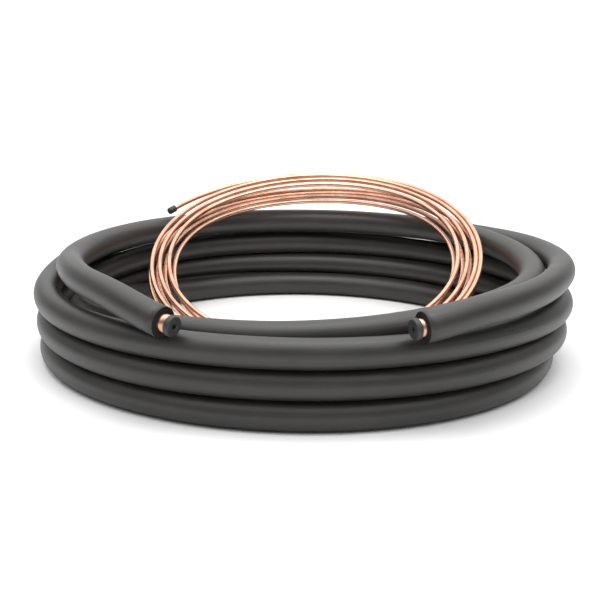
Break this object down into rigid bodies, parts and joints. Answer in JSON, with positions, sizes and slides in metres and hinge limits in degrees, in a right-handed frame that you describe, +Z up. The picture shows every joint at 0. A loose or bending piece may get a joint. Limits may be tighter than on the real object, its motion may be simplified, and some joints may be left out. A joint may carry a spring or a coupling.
{
  "type": "insulated copper line set coil",
  "caption": "Coil of foam-insulated copper suction line with plugged ends, and a looser coil of bare copper liquid line leaning in it.",
  "frame": {"origin": "on the floor, at the middle of the object's box", "axes": "+Z up, perpendicular to the coil's turns; +Y to the back, where the bare line leans over the insulated coil; +X to the right as the picture shows it"},
  "size_m": [0.9964, 1.01, 0.274],
  "materials": {
    "foam": "dark grey closed-cell elastomeric foam, satin skin",
    "copper": "bright annealed copper",
    "plug_rubber": "grey moulded rubber",
    "cap_rubber": "black moulded rubber"
  },
  "bodies": {
    "root": {"insulation_sleeve": "foam", "suction_tube": "copper", "suction_plug_right": "plug_rubber", "suction_plug_left": "plug_rubber", "liquid_tube": "copper", "liquid_cap_front": "cap_rubber", "liquid_cap_back": "cap_rubber"}
  },
  "joints": []
}
